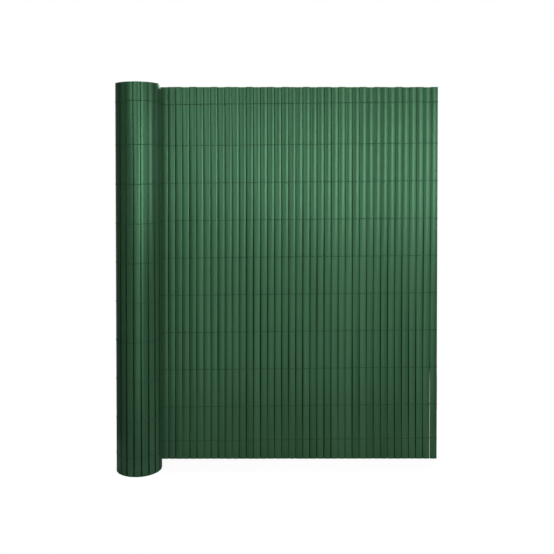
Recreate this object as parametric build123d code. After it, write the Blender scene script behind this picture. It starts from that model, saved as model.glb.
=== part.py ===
from build123d import *
import os
from math import asin, atan, cos, degrees, pi, sin

# Garden screen of upright hollow slats bound by cords, standing partly unrolled.
# Lengths are in millimetres, +Z is up, the flat run lies along X and its front faces -Y.

# One slat: two shallow convex faces and chamfered edges, round a lens-shaped cavity
SCREEN_HEIGHT = 1000.0
SLAT_WIDTH = 18.9
SLAT_THICKNESS = 3.2
SLAT_EDGE = 1.8
EDGE_CHAMFER = 0.5
SLAT_WALL = 0.5
SLAT_RIM = 0.9

# Flat run: slats side by side, with cut ends that don't quite line up
RUN_SLATS = 41
SLAT_GAP = 0.1
LENGTH_SPREAD = 2.4

# The last slat has sprung away from its neighbour at the foot, up to one of the bindings
PARTED_GAP = 0.8
PARTED_HEIGHT = 240.0

# Roll: mid-plane radii of the slats, where the run leaves it and where the winding ends
ROLL_RADIUS = 60.0
CORE_RADIUS = 24.7
TURN_CLEARANCE = 0.3

# Binding cords: a row near each end, and inner rows evenly spaced between the lowest and the highest
CORD_THICKNESS = 0.6
CORD_WIDTH = 0.9
CORD_SEAT = 0.05
EDGE_ROW = 48.0
LOW_ROW = 140.0
HIGH_ROW = 158.0
INNER_ROWS = 8
ROW_RISE = 8.0

PITCH = SLAT_WIDTH + SLAT_GAP
CROWN = SLAT_THICKNESS / 2
CORD_INNER = CROWN + CORD_SEAT
CORD_OUTER = CORD_INNER + CORD_THICKNESS


def wind():
    """Hinge points of the rolled slats on a spiral about the Z axis, from the run inwards to the core."""
    hinges = []
    radius = ROLL_RADIUS
    angle = pi / 2 - asin(PITCH / 2 / radius)
    while radius > CORE_RADIUS:
        hinges.append(Vector(radius * cos(angle), radius * sin(angle)))
        step = 2 * asin(PITCH / 2 / radius)
        sagitta = radius * (1 - cos(step / 2))
        turn_depth = CROWN + max(CORD_OUTER, SLAT_EDGE / 2 + sagitta)
        radius -= (turn_depth + TURN_CLEARANCE) * step / (2 * pi)
        angle += step
    return hinges


def outward(start, end):
    """Unit normal of a slat's chord, on the outer side of the roll and at the back of the run."""
    chord = (end - start).normalized()
    return Vector(chord.Y, -chord.X)


def beside(route, reach):
    """The route moved outwards by reach, mitred at each hinge."""
    normals = [outward(a, b) for a, b in zip(route, route[1:])]
    before = normals[:1] + normals
    after = normals + normals[-1:]
    return [p + (m + n) * (reach / (1 + m.dot(n))) for p, m, n in zip(route, before, after)]


def bow(start, end, height):
    """Shallow arc from start to end that rises outwards by height at its middle, measured from the chord."""
    middle = (start + end) / 2
    return ThreePointArc(start, middle + outward(start, end) * height, end)


def cavity(start, end):
    """Lens-shaped hollow of the slat whose chord runs from start to end, inside its solid rims."""
    rim = (end - start).normalized() * SLAT_RIM
    near = start + rim
    far = end - rim
    return Wire([bow(near, far, CROWN - SLAT_WALL), bow(far, near, CROWN - SLAT_WALL)])


def run_section():
    """Section of one slat of the run, centred on its own axis; each half is the other turned half round."""
    side = Vector(SLAT_WIDTH / 2, 0)
    face_end = Vector(SLAT_WIDTH / 2 - EDGE_CHAMFER, SLAT_EDGE / 2)
    edge_end = Vector(SLAT_WIDTH / 2, SLAT_EDGE / 2 - EDGE_CHAMFER)
    outline = []
    for turn in (1, -1):
        face_start = face_end * turn
        face_stop = Vector(-face_end.X, face_end.Y) * turn
        edge_start = Vector(-edge_end.X, edge_end.Y) * turn
        edge_stop = edge_end * -turn
        outline.append(bow(face_start, face_stop, CROWN - SLAT_EDGE / 2))
        outline += Polyline(face_stop, edge_start, edge_stop, face_end * -turn).edges()
    return Face(Wire(outline), [cavity(side, -side)])


def slat_place(number, hinge):
    """Axis of a slat of the run, numbered from 1 at the roll; hinge is where the rolled slats begin."""
    return Vector(hinge.X + SLAT_GAP + SLAT_WIDTH / 2 + (number - 1) * PITCH, hinge.Y)


def slat_length(number):
    """Cut length of a slat, a little short of the full height by an uneven amount."""
    return SCREEN_HEIGHT - LENGTH_SPREAD * (0.5 + 0.5 * sin(2.4 * number))


def run_slat(number, hinge):
    """A straight slat of the run, standing on its lower end."""
    return Pos(slat_place(number, hinge)) * extrude(run_section(), slat_length(number), dir=(0, 0, 1))


def parted_slat(hinge):
    """The last slat of the run: its foot leans away from its neighbour below the binding that still holds it."""
    section = run_section()
    foot = Pos(PARTED_GAP, 0, 0) * Solid.extrude(section, Vector(-PARTED_GAP, 0, PARTED_HEIGHT))
    upper = Pos(0, 0, PARTED_HEIGHT) * extrude(section, slat_length(RUN_SLATS) - PARTED_HEIGHT, dir=(0, 0, 1))
    return Pos(slat_place(RUN_SLATS, hinge)) * (foot + upper)


def rolled_slats(hinges):
    """All turns of the roll: hollow slats pressed edge to edge along the spiral, so they make one ridged wall."""
    outer = beside(hinges, SLAT_EDGE / 2)
    inner = beside(hinges, -SLAT_EDGE / 2)
    chords = list(zip(hinges, hinges[1:]))
    sides = []
    for (start, end), edge_a, edge_b in zip(chords, outer, outer[1:]):
        crown = (start + end) / 2 + outward(start, end) * CROWN
        sides.append(ThreePointArc(edge_a, crown, edge_b))
    sides.append(Line(outer[-1], inner[-1]))
    for (start, end), edge_a, edge_b in reversed(list(zip(chords, inner, inner[1:]))):
        crown = (start + end) / 2 - outward(start, end) * CROWN
        sides.append(ThreePointArc(edge_b, crown, edge_a))
    sides.append(Line(inner[0], outer[0]))
    section = Face(Wire(sides), [cavity(start, end) for start, end in chords])
    return extrude(section, SCREEN_HEIGHT, dir=(0, 0, 1))


def outer_turn(hinges):
    """Hinges of the turn that shows: once round the roll, less the slats that the run covers."""
    back = hinges[0].Y - PITCH
    for index, hinge in enumerate(hinges[2:], start=2):
        if hinge.X > 0 and hinge.Y > back:
            return hinges[:index]
    return hinges


def binding_cord(height, hinges):
    """One cord: round the outer turn, along the back of the run, round its end and back along the front."""
    run_length = RUN_SLATS * PITCH
    tilt = atan(ROW_RISE / run_length)
    part_way = 1 - (height + ROW_RISE - CORD_WIDTH) / PARTED_HEIGHT
    end_x = hinges[0].X + run_length + PARTED_GAP * max(0, part_way) + CORD_SEAT
    line_y = hinges[0].Y
    turn = outer_turn(hinges)
    route = [Vector(end_x, line_y)] + turn
    outside = beside(route, CORD_OUTER)[1:]
    inside = beside(route, CORD_INNER)[1:]
    front_x = hinges[0].X
    far_x = end_x + CORD_THICKNESS
    outline = list(reversed(outside))
    outline += [Vector(far_x, line_y + CORD_OUTER), Vector(far_x, line_y - CORD_OUTER)]
    outline += [Vector(front_x, line_y - CORD_OUTER), Vector(front_x, line_y - CORD_INNER)]
    outline += [Vector(end_x, line_y - CORD_INNER), Vector(end_x, line_y + CORD_INNER)]
    outline += inside
    band = make_face(Polyline(outline, close=True))
    cord = Pos(0, 0, -CORD_WIDTH / 2) * extrude(band, CORD_WIDTH, dir=(0, 0, 1))
    return Pos(0, 0, height) * Rot(0, -degrees(tilt), 0) * cord


def binding_heights():
    """Heights of the bindings at the roll, from the lowest up."""
    spacing = (SCREEN_HEIGHT - HIGH_ROW - LOW_ROW) / (INNER_ROWS - 1)
    inner_rows = [LOW_ROW + spacing * row for row in range(INNER_ROWS)]
    return [EDGE_ROW] + inner_rows + [SCREEN_HEIGHT - EDGE_ROW]


def build():
    """Every piece of the screen by name, with the origin under the middle of its box, on the ground."""
    hinges = wind()
    pieces = {"rolled_slats": rolled_slats(hinges)}
    for number in range(1, RUN_SLATS):
        pieces[f"slat_{number:02d}"] = run_slat(number, hinges[0])
    pieces[f"slat_{RUN_SLATS:02d}"] = parted_slat(hinges[0])
    for number, height in enumerate(binding_heights(), start=1):
        pieces[f"binding_cord_{number:02d}"] = binding_cord(height, hinges)
    box = Compound([solid for piece in pieces.values() for solid in piece.solids()]).bounding_box()
    to_origin = Pos(-box.center().X, -box.center().Y, -box.min.Z)
    return {name: to_origin * piece for name, piece in pieces.items()}


os.makedirs("parts", exist_ok=True)
for name, piece in build().items():
    export_step(piece, f"parts/{name}.step")
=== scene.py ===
import math
import random

import bpy
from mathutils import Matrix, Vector


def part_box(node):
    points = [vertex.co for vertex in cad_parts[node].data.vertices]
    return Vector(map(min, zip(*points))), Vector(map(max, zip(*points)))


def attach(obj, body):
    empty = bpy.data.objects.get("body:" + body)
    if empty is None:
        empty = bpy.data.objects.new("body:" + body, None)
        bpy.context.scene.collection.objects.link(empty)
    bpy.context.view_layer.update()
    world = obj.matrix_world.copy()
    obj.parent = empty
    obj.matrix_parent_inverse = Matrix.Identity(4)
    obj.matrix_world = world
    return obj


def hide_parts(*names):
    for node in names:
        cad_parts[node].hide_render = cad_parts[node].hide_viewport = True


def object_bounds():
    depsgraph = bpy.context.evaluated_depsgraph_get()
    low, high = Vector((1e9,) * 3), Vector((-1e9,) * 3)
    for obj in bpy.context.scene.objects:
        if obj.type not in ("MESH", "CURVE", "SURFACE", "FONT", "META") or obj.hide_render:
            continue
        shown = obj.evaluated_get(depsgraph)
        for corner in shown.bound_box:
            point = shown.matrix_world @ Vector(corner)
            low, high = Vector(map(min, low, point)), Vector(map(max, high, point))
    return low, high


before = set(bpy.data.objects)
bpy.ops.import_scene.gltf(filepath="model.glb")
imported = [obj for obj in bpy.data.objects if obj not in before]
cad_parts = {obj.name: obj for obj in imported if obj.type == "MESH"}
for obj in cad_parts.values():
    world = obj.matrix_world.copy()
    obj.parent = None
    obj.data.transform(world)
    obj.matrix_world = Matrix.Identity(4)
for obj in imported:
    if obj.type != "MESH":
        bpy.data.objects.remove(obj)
cad_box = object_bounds()


# Slats of the flat run: hollow lens-shaped extrusions in green PVC, 19 mm from joint to joint and 3.2 mm
# thick, sawn to length and stood edge to edge. None is quite straight, so each joint lies a little before
# or behind the next one, and the slats between them turn slightly to and fro.
MM = 0.001
SLAT_PITCH = 19.0 * MM
HALF_THICKNESS = 1.6 * MM
FACE_BOW = 1.15 * MM
EDGE_REACH = 1.2 * MM
FACE_WALL = 0.4 * MM
EDGE_WALL = 1.4 * MM
BORE_REACH = 0.9 * MM
SLAT_CLEARANCE = 0.1 * MM
# Width over which the painted shade at a joint fades out towards the middle of a slat
SHADE_FADE = 0.6 * MM
CUT_SHARE = 0.45
FACE_STEPS = 8
EDGE_STEPS = 4
RUN_LEVELS = 16
SHARP_ANGLE = math.radians(62)
EXTRUDED = 0
SAWN = 1

run_nodes = sorted(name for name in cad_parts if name.startswith("slat_"))
run_count = len(run_nodes)
first_low, first_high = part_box(run_nodes[0])
RUN_START = first_low.x - SLAT_CLEARANCE
RUN_LINE = (first_low.y + first_high.y) / 2
MAT_TOP = cad_box[1][2]


def face_height(across, half_thickness):
    """Height of a slat's bowed face over its middle plane, at a distance from its axis."""
    return half_thickness - FACE_BOW * (2 * across / SLAT_PITCH) ** 2


def section(half_width, half_thickness, edge_reach):
    """Outline of a slat: bowed faces that roll over into oval edges."""
    quarter = []
    for step in range(FACE_STEPS):
        across = (half_width - edge_reach) * step / FACE_STEPS
        quarter.append((across, face_height(across, half_thickness)))
    for step in range(EDGE_STEPS):
        turn = math.pi / 2 * step / EDGE_STEPS
        across = half_width - edge_reach * (1 - math.sin(turn))
        quarter.append((across, face_height(across, half_thickness) * math.cos(turn)))
    right = quarter + [(half_width, 0.0)] + [(u, -v) for u, v in reversed(quarter)]
    left = [(-u, v) for u, v in right[1:-1]]
    return right + left[::-1]


def new_skin():
    """An empty skin for slat_skin to add slats to."""
    return {"points": [], "faces": [], "finishes": [], "tones": [], "shades": [], "across": [], "along": []}


def add_ring(skin, start, end, height, outline, tone, shades):
    """Adds an outline at a height to a skin, centred between two joints, and gives its points' numbers."""
    along = (end - start).normalized()
    out = Vector((along.y, -along.x))
    ring = []
    for (u, v), seam in zip(outline, shades):
        place = (start + end) / 2 + along * u + out * v
        ring.append(len(skin["points"]))
        skin["points"].append((place.x, place.y, height))
        skin["tones"].append(tone)
        skin["shades"].append(seam)
    return ring


def painted_shade_at(u, half_width, reaches):
    """How much painted shade a point across a slat takes: 1 at the joint beside it, and none beyond that
    joint's reach.
    """
    reach = reaches[u > 0] - (half_width - abs(u))
    return min(1.0, max(0.0, reach / SHADE_FADE))


def slat_skin(skin, start, end, levels, number, tone, shades, slack=0.0):
    """Adds one hollow slat to a skin. Start and end give its joints at a height, and the pair after the tone
    how far the painted shade reaches from each joint."""
    rings = []
    for height in levels:
        a = start(height)
        b = end(height)
        half_width = (b - a).length / 2 - slack
        outline = section(half_width, HALF_THICKNESS, EDGE_REACH)
        reaches = [seam(height) for seam in shades]
        darks = [painted_shade_at(u, half_width, reaches) for u, v in outline]
        rings.append(add_ring(skin, a, b, height, outline, tone, darks))
    bores = []
    for height in (levels[0], levels[-1]):
        a = start(height)
        b = end(height)
        outline = section((b - a).length / 2 - EDGE_WALL, HALF_THICKNESS - FACE_WALL, BORE_REACH)
        bores.append(add_ring(skin, a, b, height, outline, tone, [0.0] * len(outline)))
    strips = [(low, high, EXTRUDED) for low, high in zip(rings, rings[1:])]
    strips.append((bores[1], bores[0], EXTRUDED))
    strips.append((bores[0], rings[0], SAWN))
    strips.append((rings[-1], bores[1], SAWN))
    shares = [u / SLAT_PITCH for u, v in section(SLAT_PITCH / 2, HALF_THICKNESS, EDGE_REACH)]
    count = len(shares)
    for low, high, finish in strips:
        for i in range(count):
            j = (i + 1) % count
            face = (low[i], high[i], high[j], low[j])
            skin["faces"].append(face)
            skin["finishes"].append(finish)
            for index, place in zip(face, (i, i, j, j)):
                skin["across"].append((number + shares[place]) * SLAT_PITCH)
                skin["along"].append(skin["points"][index][2])


def slat_piece(name, skin, finishes):
    """A piece from a skin. Its map is the mat's length and height in metres, so patterns follow the slats."""
    mesh = bpy.data.meshes.new(name)
    mesh.from_pydata(skin["points"], [], skin["faces"])
    mesh.polygons.foreach_set("material_index", skin["finishes"])
    mesh.polygons.foreach_set("use_smooth", [True] * len(skin["faces"]))
    mat_map = mesh.uv_layers.new(name="mat_map")
    places = [value for pair in zip(skin["across"], skin["along"]) for value in pair]
    mat_map.uv.foreach_set("vector", places)
    # The painted shade of the joints is kept with each point, beside its tone
    for field, values in (("slat_tone", skin["tones"]), ("slat_seam", skin["shades"])):
        mesh.attributes.new(field, "FLOAT", "POINT").data.foreach_set("value", values)
    mesh.set_sharp_from_angle(angle=SHARP_ANGLE)
    for finish in finishes:
        mesh.materials.append(finish)
    mesh.update()
    piece = bpy.data.objects.new(name, mesh)
    bpy.context.scene.collection.objects.link(piece)
    return piece


# Extruded PVC, dyed green through: satin from the die, with a sheen that keeps some of the green, fine draw
# lines along each slat, a slow drift of shade along it and a slightly different green from slat to slat.
# Painted shade makes the joints almost black. The draw lines are a few times as wide as real ones, or they
# wouldn't show.
PVC_GREEN = "#305039"
PVC_GREEN_DEEP = "#284630"
PVC_GREEN_PALE = "#385a41"
PVC_SHEEN = "#a4ffc4"
# Near-black green painted into the joints as shade
PAINTED_JOINT_SHADE = "#08120c"
PVC_IOR = 1.53
PVC_SPECULAR = 0.45
SATIN_ROUGHNESS = 0.19
DULL_ROUGHNESS = 0.31
DRAW_LINE = 1.4 * MM
DRAW_LENGTH = 400.0 * MM
DRAW_RELIEF = 0.05 * MM
DRAW_SHARE = 0.35
DRIFT_WIDTH = 60.0 * MM
DRIFT_LENGTH = 300.0 * MM
DRIFT_SHARE = 0.5
PLAIN_SHADE = 0.45


def linear(shade):
    """Linear colour of an sRGB hex value."""
    parts = [int(shade[i:i + 2], 16) / 255 for i in (1, 3, 5)]
    return [c / 12.92 if c <= 0.04045 else ((c + 0.055) / 1.055) ** 2.4 for c in parts] + [1.0]


def node(tree, kind, settings=None, **links):
    """Adds a node to a tree. Settings go to its properties, or to the inputs of that name. Links join outputs
    to its inputs, which go by their name or, after an underscore, by their number."""
    made = tree.nodes.new(kind)
    for key, value in (settings or {}).items():
        if hasattr(made, key):
            setattr(made, key, value)
        else:
            made.inputs[key].default_value = value
    for key, source in links.items():
        spot = made.inputs[int(key[1:])] if key[0] == "_" else made.inputs[key.replace("_", " ")]
        tree.links.new(source, spot)
    return made


pvc = bpy.data.materials.new("extruded_green_pvc")
pvc.use_nodes = True
tree = pvc.node_tree
shader = tree.nodes["Principled BSDF"]
shader.inputs["IOR"].default_value = PVC_IOR
shader.inputs["Specular IOR Level"].default_value = PVC_SPECULAR
shader.inputs["Specular Tint"].default_value = linear(PVC_SHEEN)
place = node(tree, "ShaderNodeUVMap", {"uv_map": "mat_map"}).outputs["UV"]
line_place = node(tree, "ShaderNodeVectorMath", {"operation": "MULTIPLY"}, _0=place)
line_place.inputs[1].default_value = (1 / DRAW_LINE, 1 / DRAW_LENGTH, 1)
line_grain = {"Scale": 1.0, "Detail": 3.0, "Roughness": 0.6}
lines = node(tree, "ShaderNodeTexNoise", line_grain, Vector=line_place.outputs[0]).outputs["Fac"]
drift_place = node(tree, "ShaderNodeVectorMath", {"operation": "MULTIPLY"}, _0=place)
drift_place.inputs[1].default_value = (1 / DRIFT_WIDTH, 1 / DRIFT_LENGTH, 1)
drift_grain = {"Scale": 1.0, "Detail": 2.0}
drift = node(tree, "ShaderNodeTexNoise", drift_grain, Vector=drift_place.outputs[0]).outputs["Fac"]
tone = node(tree, "ShaderNodeAttribute", {"attribute_name": "slat_tone"}).outputs["Fac"]
lined = node(tree, "ShaderNodeMath", {"operation": "MULTIPLY_ADD"}, _0=lines, _2=tone)
lined.inputs[1].default_value = DRAW_SHARE
shade = node(tree, "ShaderNodeMath", {"operation": "MULTIPLY_ADD"}, _0=drift, _2=lined.outputs[0])
shade.inputs[1].default_value = DRIFT_SHARE
ramp = node(tree, "ShaderNodeValToRGB", _0=shade.outputs[0])
ramp.color_ramp.elements[0].color = linear(PVC_GREEN_DEEP)
ramp.color_ramp.elements[1].color = linear(PVC_GREEN_PALE)
ramp.color_ramp.elements.new(PLAIN_SHADE).color = linear(PVC_GREEN)
# Painted shade: towards each joint the green is mixed into near black, as far as that joint's reach goes
seam = node(tree, "ShaderNodeAttribute", {"attribute_name": "slat_seam"}).outputs["Fac"]
# Inputs 6 and 7 and output 2 of a Mix node are its colours
body = node(tree, "ShaderNodeMix", {"data_type": "RGBA"}, _0=seam, _6=ramp.outputs["Color"])
body.inputs[7].default_value = linear(PAINTED_JOINT_SHADE)
tree.links.new(body.outputs[2], shader.inputs["Base Color"])
gloss = node(tree, "ShaderNodeMapRange", {"To Min": SATIN_ROUGHNESS, "To Max": DULL_ROUGHNESS}, _0=lines)
tree.links.new(gloss.outputs["Result"], shader.inputs["Roughness"])
relief = node(tree, "ShaderNodeBump", {"Strength": 0.25, "Distance": DRAW_RELIEF}, Height=lines)
tree.links.new(relief.outputs["Normal"], shader.inputs["Normal"])

# The same PVC where the saw went through: paler and quite matt, with the marks of the teeth.
SAWN_GREEN = "#4d7a60"
SAWN_GREEN_DARK = "#3b6850"
SAWN_ROUGHNESS = 0.7
TOOTH_MARK = 0.6 * MM

sawn = bpy.data.materials.new("sawn_green_pvc")
sawn.use_nodes = True
tree = sawn.node_tree
shader = tree.nodes["Principled BSDF"]
shader.inputs["IOR"].default_value = PVC_IOR
shader.inputs["Roughness"].default_value = SAWN_ROUGHNESS
spot = node(tree, "ShaderNodeTexCoord").outputs["Object"]
marks = node(tree, "ShaderNodeTexNoise", {"Scale": 1 / TOOTH_MARK, "Detail": 2.0}, Vector=spot)
ramp = node(tree, "ShaderNodeValToRGB", _0=marks.outputs["Fac"])
ramp.color_ramp.elements[0].color = linear(SAWN_GREEN_DARK)
ramp.color_ramp.elements[1].color = linear(SAWN_GREEN)
tree.links.new(ramp.outputs["Color"], shader.inputs["Base Color"])

# How the slats meet: each joint has a set and a slow wave of its own, and the shade painted at it reaches
# more or less far over the slats. The last slat has sprung away from its neighbour at the foot, up to the
# third binding.
JOINT_SET = 0.28 * MM
JOINT_SWAY = 0.2 * MM
JOINT_FORWARD = 0.22 * MM
SWAY_SHARES = (0.3, 1.0)
SWAY_LENGTHS = (0.7, 1.6)
SHADE_REACH = 1.2 * MM
SHADE_SHARES = (0.6, 1.15)
SHADE_LENGTHS = (0.3, 0.9)
SHADE_SWING = 0.25
SLIT_WIDTH = 0.38 * MM
SLIT_TOP = 240.0 * MM
SLIT_STEEPNESS = 30
SLIT_STEPS = 8
TONE_SHIFT = 0.25
DRAW_SEED = 41

draws = random.Random(DRAW_SEED)


def sway():
    """How far one joint stands out of line at each height."""
    rest = draws.uniform(-JOINT_SET, JOINT_SET)
    wave = 2 * math.pi / draws.uniform(*SWAY_LENGTHS)
    phase = draws.uniform(0, 2 * math.pi)
    swing = draws.uniform(*SWAY_SHARES) * JOINT_SWAY
    return lambda height: rest + swing * math.sin(wave * height + phase)


def shade_reach():
    """How far the painted shade of one joint reaches over its slats at each height."""
    rest = draws.uniform(*SHADE_SHARES)
    wave = 2 * math.pi / draws.uniform(*SHADE_LENGTHS)
    phase = draws.uniform(0, 2 * math.pi)
    return lambda height: SHADE_REACH * (rest + SHADE_SWING * math.sin(wave * height + phase))


def slit_shade(seam):
    """The same painted shade, but none where the slit lets the light through."""
    return lambda height: seam(height) if height > SLIT_TOP else 0.0


joint_sway = [sway() for _ in range(run_count + 1)]
joint_shades = [shade_reach() for _ in range(run_count + 1)]
joint_shades[-2] = slit_shade(joint_shades[-2])


def run_joint(number):
    """Place of a joint of the run at a height, numbered from 0 at the roll."""
    x = RUN_START + number * SLAT_PITCH
    return lambda height: Vector((x, RUN_LINE - JOINT_FORWARD + joint_sway[number](height)))


def sprung(joint):
    """The same joint, moved out by the slit at the foot of the last slat."""
    def moved(height):
        part_way = min(1.0, height / SLIT_TOP)
        return joint(height) + Vector((SLIT_WIDTH * (1 - part_way ** SLIT_STEEPNESS), 0))
    return moved


for number, name in enumerate(run_nodes):
    # The cut tops are uneven as the solids' are, but less so
    top = MAT_TOP - CUT_SHARE * (MAT_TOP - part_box(name)[1].z)
    levels = [top * step / RUN_LEVELS for step in range(RUN_LEVELS + 1)]
    left = run_joint(number)
    right = run_joint(number + 1)
    if number + 1 == run_count:
        levels = sorted(set(levels + [SLIT_TOP * step / SLIT_STEPS for step in range(1, SLIT_STEPS + 1)]))
        left = sprung(left)
        right = sprung(right)
    skin = new_skin()
    tone = draws.uniform(-TONE_SHIFT, TONE_SHIFT)
    slat_skin(skin, left, right, levels, number, tone, joint_shades[number:number + 2])
    slat = slat_piece("run_" + name, skin, [pvc, sawn])
    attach(slat, "root")
    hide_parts(name)


# The rest of the mat, rolled up: 117 more slats of the same kind wound inwards in a spiral, each hinged to
# the next by the bindings, so the roll is faceted and has an open joint between each two slats.
ROLL_RADIUS = 60.0 * MM
CORE_RADIUS = 24.7 * MM
TURN_GAP = 2.55 * MM
FACET_GAP = 1.2 * MM
HINGE_SLACK = 1.0 * MM
# The open joints of the roll have shade painted over this reach on each side
OPEN_SHADE_REACH = 2.0 * MM
FIRST_ROLLED = -2
ROLL_LEVELS = 8
ROLL_SPREAD = 0.8 * MM

axis_depth = math.sqrt(ROLL_RADIUS ** 2 - SLAT_PITCH ** 2 / 4)
ROLL_AXIS = Vector((RUN_START - SLAT_PITCH / 2, RUN_LINE - axis_depth))
ROLL_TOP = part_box("rolled_slats")[1].z


def wind():
    """Hinges of the rolled slats, from the run inwards to the core. Each turn clears the next by the cord
    between them or by the corners of its facets, whichever is more."""
    hinges = []
    radius = ROLL_RADIUS
    angle = math.pi / 2 - math.asin(SLAT_PITCH / 2 / radius)
    while radius > CORE_RADIUS:
        hinges.append(ROLL_AXIS + radius * Vector((math.cos(angle), math.sin(angle))))
        step = 2 * math.asin(SLAT_PITCH / 2 / radius)
        sagitta = radius * (1 - math.cos(step / 2))
        radius -= (HALF_THICKNESS + max(TURN_GAP, FACET_GAP + sagitta)) * step / (2 * math.pi)
        angle += step
    return hinges


def still(value):
    """A place or a reach that is the same at every height."""
    return lambda height: value


hinges = wind()
open_shades = (still(OPEN_SHADE_REACH), still(OPEN_SHADE_REACH))
skin = new_skin()
for number, (outer, inner) in enumerate(zip(hinges, hinges[1:])):
    top = ROLL_TOP - draws.uniform(0, ROLL_SPREAD) * (number > 0)
    levels = [top * step / ROLL_LEVELS for step in range(ROLL_LEVELS + 1)]
    turn = math.asin(SLAT_PITCH / 2 / (outer - ROLL_AXIS).length)
    # Slats that hinge more sharply stand a trace further apart
    slack = HINGE_SLACK * (1 - math.cos(turn))
    tone = draws.uniform(-TONE_SHIFT, TONE_SHIFT)
    slat_skin(skin, still(inner), still(outer), levels, FIRST_ROLLED - number, tone, open_shades, slack)
roll = slat_piece("roll_of_slats", skin, [pvc, sawn])
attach(roll, "root")
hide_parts("rolled_slats")


# Bindings: ten rows of thin dark green cord. Each row is two flat strands that cross at every joint, so one
# runs over the front of a slat and the other behind it, and they meet round the edge of the last slat.
STRAND_WIDTH = 1.6 * MM
STRAND_THICKNESS = 0.5 * MM
STRAND_SIDES = 8
CROSSING = 0.4 * MM
CROSSING_STEEPNESS = 16
ROW_RISE = 8.0 * MM
SEAT_SHARES = (0.0, 0.02, 0.045, 0.09, 0.18, 0.34, 0.5, 0.66, 0.82, 0.91, 0.955, 0.98)

row_slope = ROW_RISE / (run_count * SLAT_PITCH)
cord_nodes = sorted(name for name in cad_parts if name.startswith("binding_cord_"))


def seat(share):
    """How far a strand's middle lies from the slat's middle, at a share of the way across it."""
    across = abs(2 * share - 1) * SLAT_PITCH / 2
    inset = max(0.0, across - SLAT_PITCH / 2 + EDGE_REACH) / EDGE_REACH
    face = face_height(across, HALF_THICKNESS) * math.sqrt(1 - inset ** 2)
    lift = math.sqrt(min(1.0, CROSSING_STEEPNESS * min(share, 1 - share)))
    return (face + STRAND_THICKNESS / 2) * lift


def outer_hinges():
    """Hinges of the turn that shows, less the slats that the run covers."""
    back = hinges[0].y - SLAT_PITCH
    for index, hinge in enumerate(hinges):
        if index > 1 and hinge.x > ROLL_AXIS.x and hinge.y > back:
            return hinges[:index + 1]
    return hinges


def strand_path(row_height, side):
    """Middle of one strand of a row from inside the roll to the free end; it changes sides at each joint."""
    def height_at(x):
        return row_height + (x - ROLL_AXIS.x) * row_slope
    stops = [still(hinge) for hinge in reversed(outer_hinges()[1:])]
    stops += [run_joint(number) for number in range(run_count + 1)]
    path = []
    for number, (start, end) in enumerate(zip(stops, stops[1:])):
        if number + 2 == len(stops):
            start = sprung(start)
            end = sprung(end)
        a = start(row_height)
        b = end(row_height)
        out = Vector(((b - a).y, -(b - a).x)).normalized()
        facing = side if number % 2 == 0 else -side
        for share in SEAT_SHARES:
            place = a + (b - a) * share + out * facing * seat(share)
            twist = side * CROSSING * math.cos(math.pi * (number + share))
            path.append(Vector((place.x, place.y, height_at(place.x) + twist)))
    path.append(Vector((b.x + STRAND_THICKNESS / 2, b.y, height_at(b.x))))
    return path


def strand_skin(skin, path):
    """Adds a flat oval strand along a path to a skin, closed at both ends."""
    rings = []
    for index, place in enumerate(path):
        before = path[max(index - 1, 0)]
        after = path[min(index + 1, len(path) - 1)]
        along = (after - before).normalized()
        out = along.cross(Vector((0, 0, 1))).normalized()
        up = out.cross(along)
        ring = []
        for step in range(STRAND_SIDES):
            turn = 2 * math.pi * step / STRAND_SIDES
            edge = out * math.cos(turn) * STRAND_THICKNESS / 2 + up * math.sin(turn) * STRAND_WIDTH / 2
            ring.append(len(skin["points"]))
            skin["points"].append(place + edge)
        rings.append(ring)
    for low, high in zip(rings, rings[1:]):
        for i in range(STRAND_SIDES):
            j = (i + 1) % STRAND_SIDES
            skin["faces"].append((low[i], low[j], high[j], high[i]))
    skin["faces"].append(tuple(reversed(rings[0])))
    skin["faces"].append(tuple(rings[-1]))


# Twisted synthetic cord: dull and dark, with the lay of its fibres as fine slanting ridges. The ridges are
# drawn about twice as coarse as the real ones, or they wouldn't show.
CORD_GREEN = "#182f20"
CORD_GREEN_PALE = "#21432e"
CORD_IOR = 1.49
CORD_SPECULAR = 0.12
CORD_ROUGHNESS = 0.8
FIBRE_LAY = 1.97 * MM
FIBRE_RELIEF = 0.1 * MM
# A wave texture repeats after this length at scale 1
WAVE_REPEAT = 2 * math.pi / 10

twine = bpy.data.materials.new("twisted_green_cord")
twine.use_nodes = True
tree = twine.node_tree
shader = tree.nodes["Principled BSDF"]
shader.inputs["IOR"].default_value = CORD_IOR
shader.inputs["Specular IOR Level"].default_value = CORD_SPECULAR
shader.inputs["Roughness"].default_value = CORD_ROUGHNESS
spot = node(tree, "ShaderNodeTexCoord").outputs["Object"]
ridges = {"bands_direction": "DIAGONAL", "Scale": WAVE_REPEAT / FIBRE_LAY, "Distortion": 1.5}
lay = node(tree, "ShaderNodeTexWave", ridges, Vector=spot).outputs["Fac"]
ramp = node(tree, "ShaderNodeValToRGB", _0=lay)
ramp.color_ramp.elements[0].color = linear(CORD_GREEN)
ramp.color_ramp.elements[1].color = linear(CORD_GREEN_PALE)
tree.links.new(ramp.outputs["Color"], shader.inputs["Base Color"])
relief = node(tree, "ShaderNodeBump", {"Strength": 0.5, "Distance": FIBRE_RELIEF}, Height=lay)
tree.links.new(relief.outputs["Normal"], shader.inputs["Normal"])

for name in cord_nodes:
    low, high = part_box(name)
    row_height = (low.z + high.z) / 2 - ((low.x + high.x) / 2 - ROLL_AXIS.x) * row_slope
    skin = {"points": [], "faces": []}
    strand_skin(skin, strand_path(row_height, 1))
    strand_skin(skin, strand_path(row_height, -1))
    mesh = bpy.data.meshes.new("row_of_" + name)
    mesh.from_pydata(skin["points"], [], skin["faces"])
    mesh.polygons.foreach_set("use_smooth", [True] * len(skin["faces"]))
    mesh.materials.append(twine)
    binding = bpy.data.objects.new("row_of_" + name, mesh)
    bpy.context.scene.collection.objects.link(binding)
    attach(binding, "root")
    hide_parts(name)


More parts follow.
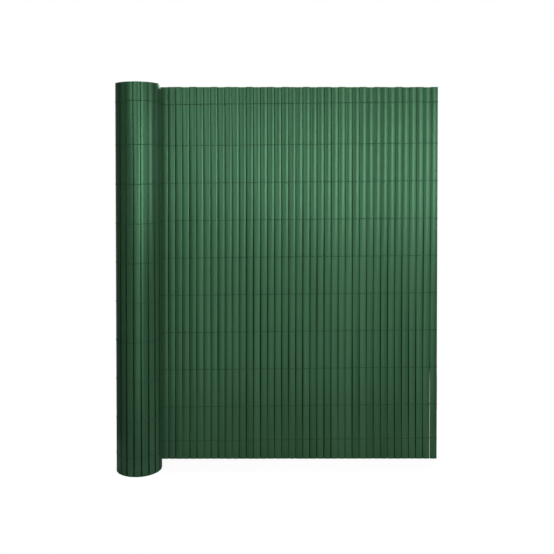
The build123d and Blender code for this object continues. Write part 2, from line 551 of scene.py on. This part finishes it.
# Studio floor: a sheet of white paper under the screen, in front of a white sweep. It shows most near the
# foot, where it takes the shadow, and fades into the white all round.
PAPER_TONE = "#707070"
PAPER_ROUGHNESS = 0.9
PAPER_SIDE = 0.62
PAPER_FRONT = -0.13
PAPER_BACK = 0.45
PAPER_LEVEL = -0.2 * MM
PAPER_FADE = 0.12
PAPER_GLOW = 0.9
PAPER_SHEEN = 0.05

front_corners = [(-PAPER_SIDE, PAPER_FRONT, PAPER_LEVEL), (PAPER_SIDE, PAPER_FRONT, PAPER_LEVEL)]
back_corners = [(PAPER_SIDE, PAPER_BACK, PAPER_LEVEL), (-PAPER_SIDE, PAPER_BACK, PAPER_LEVEL)]
paper_mesh = bpy.data.meshes.new("studio_paper")
paper_mesh.from_pydata(front_corners + back_corners, [], [(0, 1, 2, 3)])
sheet = bpy.data.objects.new("studio_paper", paper_mesh)
bpy.context.scene.collection.objects.link(sheet)

# White paper: matt and dim by the lamps alone, so that it throws little light up at the slats. A glow that
# the eye sees brings it up to the sweep's white outside the shadow, and gloss hardly finds it.
paper = bpy.data.materials.new("white_paper")
paper.use_nodes = True
tree = paper.node_tree
shader = tree.nodes["Principled BSDF"]
shader.inputs["Base Color"].default_value = linear(PAPER_TONE)
shader.inputs["Roughness"].default_value = PAPER_ROUGHNESS
shader.inputs["Emission Color"].default_value = (1, 1, 1, 1)
spot = node(tree, "ShaderNodeSeparateXYZ", _0=node(tree, "ShaderNodeTexCoord").outputs["Object"])
width = node(tree, "ShaderNodeMath", {"operation": "ABSOLUTE"}, _0=spot.outputs["X"]).outputs[0]
depth = spot.outputs["Y"]
margins = []
for distance, edge, inward in ((width, PAPER_SIDE, -1), (depth, PAPER_BACK, -1), (depth, PAPER_FRONT, 1)):
    fade = {"From Min": edge, "From Max": edge + inward * PAPER_FADE}
    margins.append(node(tree, "ShaderNodeMapRange", fade, _0=distance).outputs["Result"])
inside = node(tree, "ShaderNodeMath", {"operation": "MINIMUM"}, _0=margins[0], _1=margins[1]).outputs[0]
inside = node(tree, "ShaderNodeMath", {"operation": "MINIMUM"}, _0=inside, _1=margins[2]).outputs[0]
glow = node(tree, "ShaderNodeMapRange", {"To Min": 1.0, "To Max": PAPER_GLOW}, _0=inside).outputs["Result"]
rays = node(tree, "ShaderNodeLightPath").outputs
direct = rays["Is Camera Ray"]
through = rays["Is Transmission Ray"]
seen = node(tree, "ShaderNodeMath", {"operation": "MAXIMUM"}, _0=direct, _1=through)
mirrored = node(tree, "ShaderNodeMath", {"operation": "MULTIPLY"}, _0=rays["Is Glossy Ray"])
mirrored.inputs[1].default_value = PAPER_SHEEN
shown = node(tree, "ShaderNodeMath", {"operation": "MAXIMUM"}, _0=seen.outputs[0], _1=mirrored.outputs[0])
glow = node(tree, "ShaderNodeMath", {"operation": "MULTIPLY"}, _0=glow, _1=shown.outputs[0])
tree.links.new(glow.outputs[0], shader.inputs["Emission Strength"])
paper_mesh.materials.append(paper)


# White sweep round the screen: lit paper, so it is plain white wherever the eye meets it. Gloss finds that
# white only behind the screen, and a dim room in front.
ROOM_FILL = 0.03
SWEEP_START = 0.6

world = bpy.data.worlds.new("studio")
bpy.context.scene.world = world
world.use_nodes = True
tree = world.node_tree
backdrop = tree.nodes["Background"]
backdrop.inputs["Color"].default_value = (1, 1, 1, 1)
way = node(tree, "ShaderNodeSeparateXYZ", _0=node(tree, "ShaderNodeTexCoord").outputs["Generated"])
reach = {"From Min": SWEEP_START, "From Max": 1.0}
behind = node(tree, "ShaderNodeMapRange", reach, _0=way.outputs["Y"]).outputs["Result"]
rays = node(tree, "ShaderNodeLightPath").outputs
mirrored = node(tree, "ShaderNodeMath", {"operation": "MULTIPLY"}, _0=rays["Is Glossy Ray"], _1=behind)
direct = rays["Is Camera Ray"]
through = rays["Is Transmission Ray"]
seen = node(tree, "ShaderNodeMath", {"operation": "MAXIMUM"}, _0=direct, _1=through)
shown = node(tree, "ShaderNodeMath", {"operation": "MAXIMUM"}, _0=seen.outputs[0], _1=mirrored.outputs[0])
level = node(tree, "ShaderNodeMapRange", {"To Min": ROOM_FILL, "To Max": 1.0}, _0=shown.outputs[0])
tree.links.new(level.outputs["Result"], backdrop.inputs["Strength"])


# Softboxes, all turned to the middle of the screen: a far key at the right that draws a thin highlight on
# each slat, weaker ones round the front that fill in, and two behind for the back.
LIT_POINT = Vector((0.0, 0.05, 0.6))


def softbox(name, place, size, power):
    """A square lamp at a place, turned to the screen."""
    lamp = bpy.data.lights.new(name, "AREA")
    lamp.shape = "SQUARE"
    lamp.size = size
    lamp.energy = power
    stand = bpy.data.objects.new(name, lamp)
    stand.location = place
    stand.rotation_euler = (LIT_POINT - Vector(place)).to_track_quat("-Z", "Y").to_euler()
    bpy.context.scene.collection.objects.link(stand)


softbox("key_right", place=(1.60, -4.69, 0.85), size=1.2, power=52.0)
softbox("side_right", place=(1.93, -2.25, 0.85), size=0.9, power=8.0)
softbox("edge_right", place=(1.72, -0.75, 0.85), size=0.6, power=7.5)
softbox("fill_front", place=(-0.63, -2.47, 0.95), size=0.8, power=6.7)
softbox("fill_low", place=(0.1, -2.55, 0.15), size=1.5, power=10.5)
softbox("fill_left", place=(-0.95, -1.595, 1.3), size=0.6, power=2.8)
softbox("fill_high", place=(0.42, -2.31, 2.2), size=0.8, power=25.0)
softbox("back_left", place=(-0.35, 2.1, 1.3), size=0.9, power=42.0)
softbox("back_right", place=(0.9, 1.9, 0.9), size=0.9, power=28.0)


# Camera: about 1.9 m in front of the screen, at three quarters of its height and almost level, with its frame
# moved down to take in the foot.
SENSOR_WIDTH = 36.0
LENS = 46.4
FRAME_SHIFT = -0.166
EYE_PLACE = (-0.0102, -1.8538, 0.771)
EYE_TILT = math.radians(89.0)
EYE_TURN = math.radians(-0.12)

camera = bpy.data.cameras.new("front_view")
camera.sensor_width = SENSOR_WIDTH
camera.lens = LENS
camera.shift_y = FRAME_SHIFT
eye = bpy.data.objects.new("front_view", camera)
eye.location = EYE_PLACE
eye.rotation_euler = (EYE_TILT, 0, EYE_TURN)
bpy.context.scene.collection.objects.link(eye)
bpy.context.scene.camera = eye
bpy.context.scene.view_settings.view_transform = "Standard"
